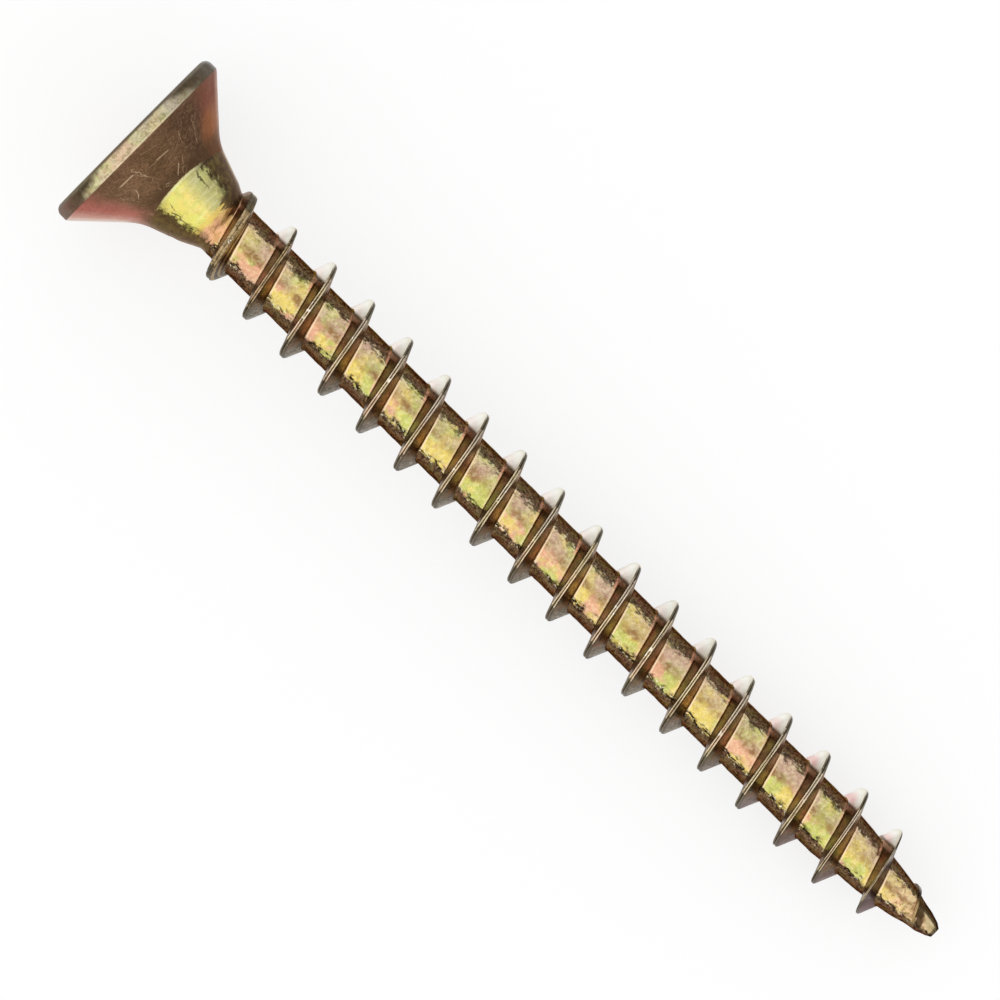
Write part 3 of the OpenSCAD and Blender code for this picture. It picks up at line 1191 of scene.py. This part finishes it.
class CoreFinish(Finish):
    """Core between the turns: mottled, with dark ragged stripes of painted shade."""

    def detail(self, layers: Layers) -> None:
        """Lay the blotches between the stripes, the painted reflections and highlights, the stripes, and
        the painted shadow and shade at the point.

        Args:
            layers: Masks and colours to work on.
        """
        own, side, z = layers.own, layers.side, layers.z
        layers.tint(z.fall(5.0, 6.6, 0.6), (222, 172, 116))
        late = z.rise(38.6, 39.3)
        layers.tint(late * 0.55, (214, 180, 138))
        layers.mottles(late, (0.7, 4.0, (228, 184, 150), 0.5), (0.6, 5.0, (120, 84, 50), 0.4))
        # Painted reflection: a dark wavy line along the middle
        middle = (side + own.swing(2.6, 0.55, 4.0, 0.6)).near(0.0, 0.04, 0.24)
        uneven = own.noise(0.9, 2.0, 0.6).ramp(0.42, 0.58, 0.35, 1.0)
        layers.tint(middle * uneven * 0.95, (146, 108, 72))
        layers.mottle(side.rise(-0.1, 0.25) * 0.4, 8.0, (152, 122, 92), 0.3)
        layers.mottle(side.rise(0.05, 0.3) * 0.35, 5.5, (246, 226, 184), 0.4)
        layers.mottles(0.25, (1.0, 6.5, (246, 236, 190), 0.4), (1.0, 5.0, (160, 126, 70), 0.4))
        # Painted highlight: a pale line in the concave fillet at the ridge's foot
        fillet = layers.toe.rise(0.62, 0.9) * layers.across.ramp(-0.5, 0.5, 0.35, 0.9)
        layers.tint(fillet * late.ramp(0.0, 1.0, 1.0, 0.1), (242, 212, 176))
        # Painted highlight: the pale facet at the point, past the valley line
        valley = z + layers.x * 0.69 + own.swing(4.0, 0.16)
        layers.tint(valley.rise(40.55, 40.65) * 0.45, (206, 192, 148))
        self._stripes(layers)
        # Painted shadow in the groove before the point's facet; painted shade on the point's upper side and
        # at its end
        groove = (valley + own.swing(5.0, 0.3, 3.0, 0.65)).near(40.36, 0.11, 0.24)
        layers.tint(groove * abs(side).fall(0.55, 0.85, 0.92), (62, 48, 30))
        layers.tint(z.rise(39.8, 40.4) * side.rise(0.36, 0.5) * 0.9, (74, 58, 38))
        layers.tint(z.rise(41.0, 41.1, 0.8), (60, 50, 36))

    def _stripes(self, layers: Layers) -> None:
        """Lay the dark stripes of painted shade, and the wrinkles at their edges: sunk as bumps, painted
        dark as shade, with painted glints.

        Args:
            layers: Masks and colours to work on.
        """
        own, side, toe = layers.own, layers.side, layers.toe
        stripe = layers.stripe * toe.ramp(0.62, 0.9, 1.0, 0.8)
        # Painted shade: the stripes, lighter on the lower side, mottled
        layers.tint(stripe * 0.96, (98, 77, 58))
        layers.tint(stripe * side.fall(-0.2, 0.0, 0.85), (138, 110, 82))
        layers.mottles(
            stripe,
            (0.6, 2.0, (108, 102, 58), 0.4),
            (0.65, 2.4, (112, 68, 60), 0.42),
            (0.65, 5.5, (62, 46, 42), 0.4),
            (0.4, 8.0, (160, 134, 100), 0.35),
            (0.5, 13.0, (152, 124, 90), 0.3),
            (0.6, 11.0, (50, 38, 30), 0.4),
        )
        deep = side.ramp(-0.2, 0.2, 1.0, 0.75)
        layers.tint(layers.crack * deep, (40, 30, 20))
        # Painted highlight: glints along the stripes' edges
        glint = own.noise(7.0, 3.0, 0.7).rise(0.58, 0.65)
        layers.tint(glint * layers.edge * deep * 0.85, (246, 236, 200))
        # Painted highlight: pink glints in the head's side fillet on the upper side
        root = toe.rise(0.5, 0.8) * layers.across.fall(-0.3, 0.0)
        blink = own.noise(3.0, 3.0, 0.65).ramp(0.42, 0.56, 0.2, 0.8)
        layers.tint(root * side.near(0.66, 0.14, 0.3) * blink, (222, 158, 128))
        layers.height = layers.height - layers.crack


class FlankFinish(Finish):
    """Flanks: dark olive brown, which is painted shade, with painted reflections that make them paler at
    two sides.
    """

    def detail(self, layers: Layers) -> None:
        """Tell the two flanks apart with painted light, and add what their ends and edges have, with
        painted shade, highlights and reflections.

        Args:
            layers: Masks and colours to work on.
        """
        share, side, x, z = layers.share, layers.side, layers.x, layers.z
        # Painted light: the point's side flank lighter than the head's side
        tip_side = layers.across.rise(-0.1, 0.1)
        layers.tint(tip_side * 0.6, (154, 118, 68))
        layers.mottle(0.75, 1.5, (150, 74, 52), 0.42)
        layers.mottle(0.6, 2.1, (118, 112, 50), 0.42)
        # Painted light: a lighter band along the middle of the point's side flank
        layers.tint(share.near(0.3, 0.08, 0.3) * tip_side * 0.7, (186, 136, 84))
        layers.mottle(0.6, 7.0, (78, 54, 32))
        layers.mottle(0.4, 9.0, (176, 140, 90), 0.35)
        late = z.rise(39.0, 39.5, 0.8)
        layers.tint(late, (212, 172, 128))
        # Painted reflection: greyer and paler towards the lower side, mottled
        grey = side.fall(-0.97, -0.72, 0.85)
        layers.tint(grey, (124, 113, 92))
        layers.mottles(
            grey,
            (0.6, 3.0, (122, 92, 84), 0.42),
            (0.8, 2.4, (84, 80, 48), 0.45),
            (0.9, 7.0, (176, 164, 142), 0.4),
            (0.9, 9.0, (62, 52, 38), 0.4),
        )
        layers.tint(z.rise(37.4, 38.0, 0.9) * tip_side, (70, 42, 42))
        layers.tint(z.rise(29.0, 34.0, 0.75) * tip_side * grey, (104, 62, 60))
        # Painted shade: the last turns darker on the upper side
        layers.tint(late * side.rise(0.4, 0.7), (60, 48, 34))
        # Painted shade: darker at the flank's foot, in the crease by the core
        foot = share.fall(0.1, 0.22) * layers.across.ramp(-0.1, 0.1, 0.6, 0.25)
        layers.tint(foot, (62, 42, 26))
        layers.tint(share.rise(0.8, 0.94, 0.7), (58, 48, 32))
        # Painted highlight (gleam) and painted reflection (pale: white, pink near the foot) on the head's
        # side flank towards the upper side
        head_side = layers.across.fall(-0.1, 0.1) * z.fall(39.1, 39.4)
        gleam = x.near(0.94, 0.04, 0.12) * head_side
        layers.tint(gleam * share.fall(0.7, 0.9, 0.7), (226, 180, 146))
        pale = x.rise(1.08, 1.22) * head_side * z.rise(5.0, 5.8)
        layers.tint(pale, (255, 254, 244))
        layers.tint(pale * share.rise(0.7, 1.0), (240, 234, 212))
        reflection_pink = pale * share.fall(0.2, 0.75)
        layers.tint(reflection_pink * z.ramp(29.0, 34.0, 0.3, 0.95), (246, 202, 196))
        # Painted highlights and shade of fold lines on the first turn's flank
        early = z.fall(5.5, 6.3) * tip_side
        fold = share + layers.own.swing(2.4, 0.3, 4.0, 0.6)
        for centre, half, srgb in (
            (0.9, 0.16, (196, 168, 124)),
            (0.64, 0.1, (54, 40, 26)),
            (0.42, 0.08, (206, 178, 132)),
            (0.24, 0.08, (60, 44, 28)),
        ):
            layers.tint(early * fold.near(centre, 0.6 * half, 1.1 * half) * 0.85, srgb)


class CrestFinish(Finish):
    """Crest: two pale lips beside the dark seam that rolling leaves, whose darkness is partly painted shade
    of its groove.
    """

    def detail(self, layers: Layers) -> None:
        """Draw the seam and its streaks, darken the crest's edges and ends with painted shade, and add a
        painted reflection and sparkles.

        Args:
            layers: Masks and colours to work on.
        """
        own, side, z, across = layers.own, layers.side, layers.z, layers.across
        trail = layers.sheet.read("Attribute", output="Fac", attribute_name=TRAIL)
        flow = layers.sheet.read("CombineXYZ", {0: across * 1.6, 1: trail * 0.4})
        streak = flow.noise(2.2, 4.0, 0.65)
        place = across + (streak - 0.5) * 0.7
        early = z.fall(6.0, 9.5, 0.85)
        layers.tint(early, (188, 160, 114))
        layers.tint(z.rise(38.8, 39.8, 0.85), (190, 158, 100))
        layers.tint(streak.fall(0.38, 0.54, 0.8), (112, 90, 58))
        layers.tint(own.noise(5.0, 3.0, 0.7).rise(0.47, 0.58, 0.8) * early, (84, 64, 40))
        # The seam: partly its own dark, partly painted shade of the groove in the land
        seam = place.near(0.0, 0.08, 0.28) * early.ramp(0.3, 0.85, 0.85, 0.3)
        layers.tint(seam, (78, 62, 38))
        # Painted shade: dark edges, the stripes, and the last turns' upper side
        layers.tint(abs(across).rise(0.8, 1.0, 0.85), (62, 50, 32))
        layers.tint(layers.stripe * 0.8, (72, 66, 50))
        layers.tint(z.rise(39.0, 39.4) * side.rise(0.3, 0.6, 0.9), (60, 48, 34))
        # Painted reflection: pale upper edge on the head's side
        top_edge = side.rise(0.86, 0.97) * across.fall(-0.9, -0.3) * z.rise(5.0, 5.8)
        layers.tint(top_edge, (240, 236, 224))
        # Painted highlight: white sparkles along the middle
        spark = own.noise(5.0).rise(0.62, 0.68) * side.near(0.0, 0.12, 0.4)
        layers.tint(spark * 0.9, (255, 250, 236))
        layers.height = layers.height + streak * 1.2


FINISHES = {
    Zone.HEAD: HeadFinish(
        "zinc_head",
        gold=(200, 182, 138),
        green=(190, 186, 132),
        salmon=(204, 176, 146),
        lilac=(182, 174, 158),
        roughness=0.28,
        grain=0.9,
    ),
    Zone.NECK: NeckFinish(
        "zinc_neck",
        gold=(224, 212, 122),
        green=(204, 210, 118),
        salmon=(226, 206, 120),
        lilac=(190, 188, 130),
        stripe_start=0.52,
        stripe_slope=0.09,
        edge_tint=(240, 228, 222),
        grit=0.5,
        scratches=1.0,
    ),
    Zone.CORE: CoreFinish(
        "zinc_core",
        gold=(220, 197, 108),
        green=(192, 194, 106),
        salmon=(224, 170, 138),
        lilac=(190, 160, 142),
        edge_tint=(122, 100, 88),
        grit=0.45,
        bump=0.6,
    ),
    # The flanks' dark olive brown is painted shade
    Zone.FLANK: FlankFinish(
        "zinc_flank",
        gold=(130, 100, 58),
        green=(120, 106, 58),
        salmon=(134, 90, 62),
        lilac=(124, 96, 66),
        roughness=0.26,
    ),
    Zone.CREST: CrestFinish(
        "zinc_crest",
        gold=(240, 218, 182),
        green=(232, 216, 178),
        salmon=(240, 210, 182),
        lilac=(226, 214, 196),
        roughness=0.26,
        stripe_start=0.7,
        bump=0.5,
    ),
}


@dataclass(frozen=True)
class Screw:
    """The whole screw: its mesh, its zones and its finishes."""

    sizes: ScrewSizes
    sharp_angle: float = 34.0

    def build(self) -> bpy.types.Object:
        """Model the screw, lay it down and dress it.

        Returns:
            The finished object.
        """
        bm = Shank(self.sizes, ThreadSection(self.sizes)).build()
        Head(self.sizes).build(bm)
        bmesh.ops.remove_doubles(bm, verts=bm.verts, dist=MERGE)
        bmesh.ops.recalc_face_normals(bm, faces=bm.faces)
        own = bm.verts.layers.float_vector.new(OWN_AXES)
        for vert in bm.verts:
            vert[own] = vert.co
        open_edges = sum(not e.is_manifold for e in bm.edges)
        bmesh.ops.transform(bm, matrix=Lie(self.sizes).matrix, verts=bm.verts)
        piece = modelled("plated_screw", bm)
        piece.data.set_sharp_from_angle(angle=math.radians(self.sharp_angle))
        effects = Effects()
        for zone in Zone:
            piece.data.materials.append(FINISHES[zone].material(effects))
        triangles = sum(len(p.vertices) - 2 for p in piece.data.polygons)
        LOG.info("screw: %d triangles, %d open edges", triangles, open_edges)
        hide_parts("screw")
        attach(piece, "root")
        return piece


@dataclass(frozen=True)
class Studio:
    """Pale floor and a soft overhead dome that ends above the horizon."""

    floor_colour: float = 0.9
    floor_half: float = 1.5
    seen_white: float = 0.75
    mirrored_white: float = 0.9
    dome: float = 1.15
    low: float = 0.05
    lean: float = 0.08
    lean_width: float = 0.05
    dome_foot: float = 4.0
    dome_whole: float = 10.0

    def build(self) -> None:
        """Lay the floor and light the world."""
        self._floor()
        self._world()

    def _floor(self) -> None:
        """Lay a plain square of paper, larger than any view."""
        bm = bmesh.new()
        bmesh.ops.create_grid(bm, x_segments=1, y_segments=1, size=self.floor_half)
        floor = modelled("floor", bm)
        material, shader = new_material("floor_paper")
        shader.inputs["Base Color"].default_value = (*[self.floor_colour] * 3, 1.0)
        shader.inputs["Roughness"].default_value = 1.0
        shader.inputs["Specular IOR Level"].default_value = 0.0
        self._whiten(Sheet(material.node_tree), shader)
        floor.data.materials.append(material)

    def _whiten(self, sheet: Sheet, shader: bpy.types.Node) -> None:
        """Lift the floor to white for the camera and for reflections, and keep its shadow.

        Args:
            sheet: The floor material's nodes.
            shader: Its surface shader.
        """
        ray = sheet.read_all("LightPath")
        mirrored = ray["Is Glossy Ray"].math("MAXIMUM", ray["Is Transmission Ray"])
        seen = ray["Is Camera Ray"] * self.seen_white
        white = seen.math("MAXIMUM", mirrored * self.mirrored_white)
        glow = sheet.add("Emission", {"Color": (1.0, 1.0, 1.0, 1.0), "Strength": 1.0})
        blend = sheet.add("MixShader", {0: white, 1: shader.outputs[0], 2: glow.outputs[0]})
        sheet.feed(sheet.tree.nodes["Material Output"].inputs["Surface"], blend.outputs[0])

    def _world(self) -> None:
        """Light the world: white above the horizon, a little stronger on one side."""
        world = bpy.data.worlds.new("studio")
        bpy.context.scene.world = world
        world.use_nodes = True
        sheet = Sheet(world.node_tree)
        _, across, up = sheet.read("TexCoord", output="Generated").split()
        foot, whole = (math.sin(math.radians(angle)) for angle in (self.dome_foot, self.dome_whole))
        sides = across.ramp(-self.lean_width, self.lean_width, 1 + self.lean, 1 - self.lean)
        shine = up.rise(foot, whole) * sides
        background = world.node_tree.nodes["Background"]
        sheet.feed(background.inputs["Strength"], shine * (self.dome - self.low) + self.low)
        background.inputs["Color"].default_value = (1.0, 1.0, 1.0, 1.0)


@dataclass(frozen=True)
class PhotoCamera:
    """Camera that sees the screw as the photograph does."""

    lie: Lie
    distance: float = 650.0
    field: float = 36.31
    roll: float = 44.74
    aim: float = 18.9
    foot: float = 4.0
    sensor: float = 36.0

    def build(self) -> None:
        """Place the camera over the screw's head side and make it the scene's."""
        matrix = self.lie.matrix
        target = matrix @ Vector((0, 0, self.aim))
        eye = matrix @ Vector((0, self.distance, self.foot))
        near = (eye - target).normalized()
        left = matrix.to_3x3().normalized().col[0]
        axis = left.cross(near).normalized()
        t = math.radians(self.roll)
        right = axis * math.cos(t) + left * math.sin(t)
        up = left * math.cos(t) - axis * math.sin(t)
        data = bpy.data.cameras.new("photo_camera")
        data.sensor_width = self.sensor
        data.lens = self.sensor * (eye - target).length / (self.field * MM)
        data.clip_start, data.clip_end = 0.01, 10.0
        camera = in_scene("photo_camera", data)
        pose = Matrix((right, up, near)).transposed().to_4x4()
        pose.translation = eye
        camera.matrix_world = pose
        bpy.context.scene.camera = camera


def main() -> None:
    """Build the screw, the studio and the camera."""
    bpy.context.scene.view_settings.view_transform = "Standard"
    sizes = ScrewSizes()
    Screw(sizes).build()
    Studio().build()
    PhotoCamera(Lie(sizes)).build()
    bpy.context.view_layer.update()


if __name__ == "__main__":
    main()
